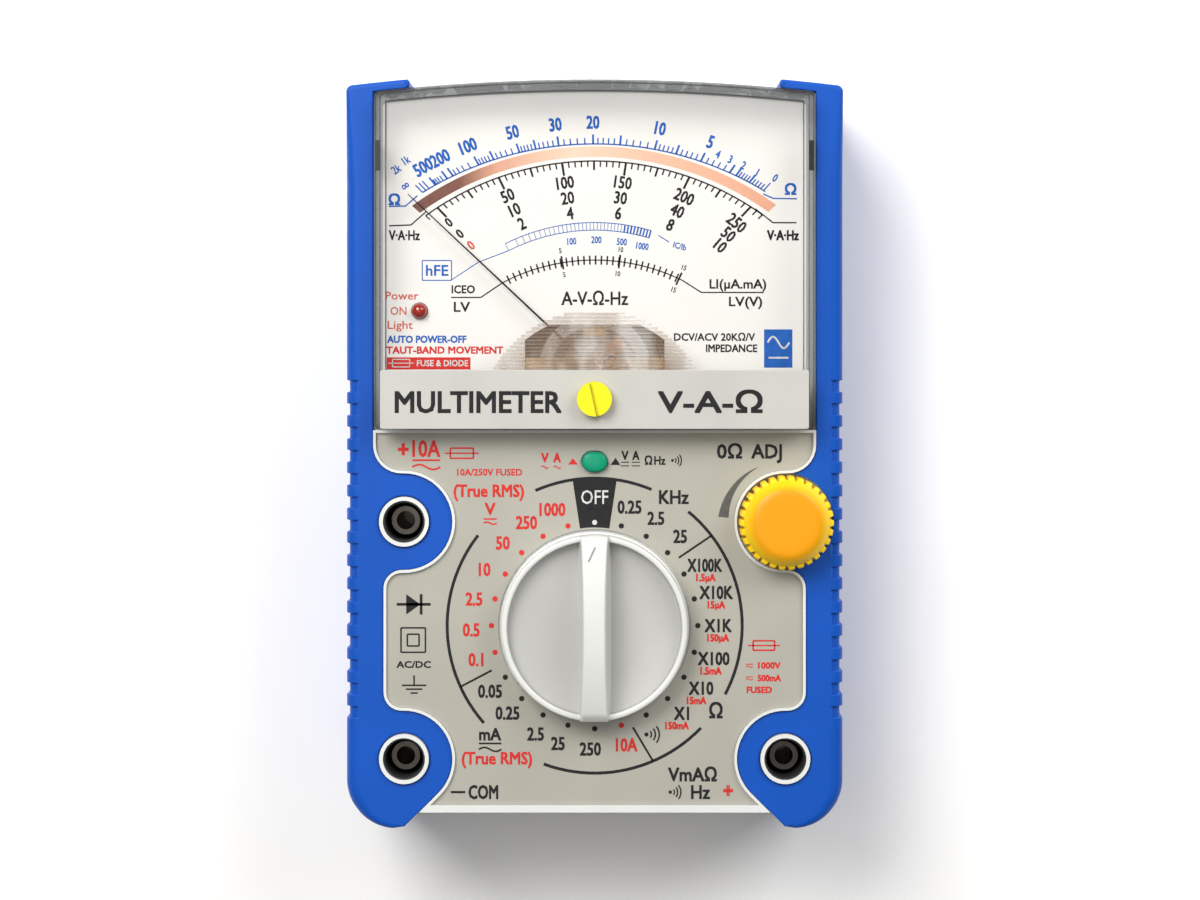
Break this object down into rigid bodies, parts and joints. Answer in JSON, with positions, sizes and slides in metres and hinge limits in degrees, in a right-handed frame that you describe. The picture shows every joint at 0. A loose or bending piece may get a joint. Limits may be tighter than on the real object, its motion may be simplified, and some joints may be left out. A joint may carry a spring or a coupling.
{
  "type": "analog multimeter",
  "caption": "Hand-held pointer multimeter in a wavy-edged protective boot, with a clear-fronted dial, a rotary range selector, plug sockets and a fold-out stand.",
  "frame": {"origin": "middle of the boot's footprint, on the surface that the meter lies on", "axes": "+Z out of the dial's face, +Y towards the dial end, +X to the right of someone reading the dial"},
  "size_m": [0.11, 0.1658, 0.052],
  "materials": {
    "boot": "smooth satin moulded rubber-like shell, blue",
    "case": "fine satin moulded plastic, warm light grey",
    "rear_plastic": "fine textured moulded plastic, warm grey",
    "panel": "printed matt overlay, warm light grey",
    "lens": "clear polished acrylic",
    "black_plastic": "satin black moulded plastic",
    "strip": "printed matt film, grey",
    "dial": "matt white painted plate with printed scales",
    "steel": "plated steel",
    "led": "dark red diffused lens",
    "magnet": "ground magnet alloy",
    "brass": "stamped brass",
    "copper": "copper and phosphor bronze",
    "adjuster": "glossy yellow moulded plastic",
    "aluminium": "thin bright aluminium",
    "needle": "thin black painted pointer",
    "knob": "silver-grey satin painted plastic",
    "white_plastic": "natural moulded acetal",
    "pcb": "green solder-masked glass epoxy",
    "resistor": "lacquered resistor body",
    "trimmer": "blue moulded trimmer",
    "contact": "nickel-plated brass",
    "ohm_knob": "satin orange-yellow moulded plastic",
    "button": "glossy green moulded plastic",
    "fuse_glass": "clear glass tube",
    "cell": "battery in a printed metal jacket"
  },
  "bodies": {
    "case": {"holster": "boot", "front_case": "case", "rear_case": "rear_plastic", "panel_label": "panel", "meter_lens": "lens", "lens_latches": "black_plastic", "name_strip": "strip", "dial_plate": "dial", "dial_screws": "steel", "power_led": "led", "pointer_stops": "steel", "movement_frame": "black_plastic", "yoke_ring": "steel", "core_magnet": "magnet", "core_supports": "brass", "upper_bridge": "brass", "lower_tension_spring": "copper", "taut_bands": "brass", "detent_ring": "white_plastic", "main_pcb": "pcb", "pcb_screws": "steel", "resistors": "resistor", "trimmer_pots": "trimmer", "jack_body_10a": "black_plastic", "jack_body_com": "black_plastic", "jack_body_vma": "black_plastic", "jack_contact_10a": "contact", "jack_contact_com": "contact", "jack_contact_vma": "contact", "ohm_pot": "black_plastic", "mode_switch": "black_plastic", "fuse_tubes": "fuse_glass", "fuse_caps": "contact", "fuse_clips": "brass", "shunt_bar": "copper", "buzzer": "black_plastic", "aa_cells": "cell", "block_battery": "cell", "battery_contacts": "contact", "stand_pin": "steel", "case_screws": "steel"},
    "selector": {"selector_knob": "knob", "switch_rotor": "white_plastic", "switch_wipers": "brass", "detent_plungers": "steel"},
    "ohm_dial": {"ohm_knob": "ohm_knob", "ohm_pot_shaft": "aluminium"},
    "zero_screw": {"zero_adjuster": "adjuster"},
    "zero_arm": {"zero_lever": "copper", "upper_tension_spring": "copper"},
    "pointer": {"coil_former": "aluminium", "coil_winding": "copper", "pointer_hub": "aluminium", "pointer_needle": "needle", "balance_weights": "steel"},
    "button": {"mode_button": "button"},
    "stand": {"tilt_stand": "rear_plastic"},
    "battery_door": {"battery_cover": "rear_plastic", "battery_cover_screw": "steel"}
  },
  "joints": [
    {"name": "selector_turn", "type": "hinge", "parent": "case", "child": "selector", "pos_m": [0, -0.038, 0.0397], "axis": [0, 0, 1], "continuous": true},
    {"name": "ohm_knob_turn", "type": "hinge", "parent": "case", "child": "ohm_dial", "pos_m": [0.0421, -0.015, 0.0386], "axis": [0, 0, 1], "range_deg": [-150, 150]},
    {"name": "zero_adjuster_turn", "type": "hinge", "parent": "case", "child": "zero_screw", "pos_m": [0, 0.0122, 0.0464], "axis": [0, 0, 1], "range_deg": [-60, 60]},
    {"name": "zero_lever_turn", "type": "hinge", "parent": "case", "child": "zero_arm", "pos_m": [0, 0.0186, 0.0415], "axis": [0, 0, 1], "range_deg": [-9, 9]},
    {"name": "pointer_swing", "type": "hinge", "parent": "case", "child": "pointer", "pos_m": [0, 0.0186, 0.039], "axis": [0, 0, 1], "range_deg": [-92, 0], "stiffness_Nm_per_rad": 0.0002},
    {"name": "mode_button_press", "type": "slide", "parent": "case", "child": "button", "axis": [0, 0, -1], "range_m": [0, 0.0022], "stiffness_N_per_m": 300},
    {"name": "tilt_stand_fold", "type": "hinge", "parent": "case", "child": "stand", "pos_m": [0, 0.011, 0.0044], "axis": [1, 0, 0], "range_deg": [0, 55]},
    {"name": "battery_cover_lift", "type": "slide", "parent": "case", "child": "battery_door", "axis": [0, 0, -1], "range_m": [0, 0.03]}
  ],
  "couplings": [
    {"joint": "zero_lever_turn", "follows": "zero_adjuster_turn", "ratio": 0.145}
  ]
}
